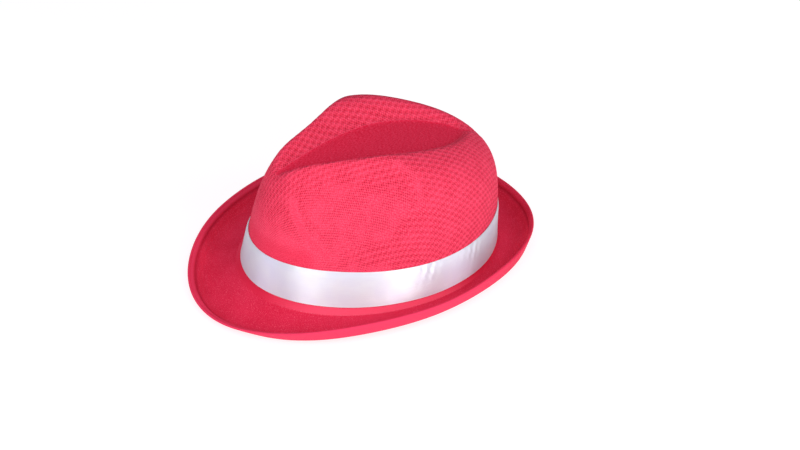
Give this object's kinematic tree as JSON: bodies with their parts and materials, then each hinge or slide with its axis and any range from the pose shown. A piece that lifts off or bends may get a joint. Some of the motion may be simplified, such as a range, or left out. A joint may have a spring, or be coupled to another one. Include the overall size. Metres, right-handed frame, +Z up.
{
  "type": "trilby hat",
  "caption": "Soft narrow-brimmed hat with a creased and pinched crown, a turned-up brim edge and a plain satin ribbon band.",
  "frame": {"origin": "middle of the bounding box in plan, on the surface the hat stands on", "axes": "+Z up, -Y towards the front of the hat, +X towards the wearer's left"},
  "size_m": [0.2312, 0.2886, 0.1217],
  "materials": {
    "crown_weave": "open waffle weave, red, stiffened, dull",
    "brim_cloth": "fine close weave, red, dull with a faint sheen",
    "satin_ribbon": "white satin ribbon, soft streaked gloss"
  },
  "bodies": {
    "root": {"crown": "crown_weave", "brim": "brim_cloth", "hat_band": "satin_ribbon"}
  },
  "joints": []
}
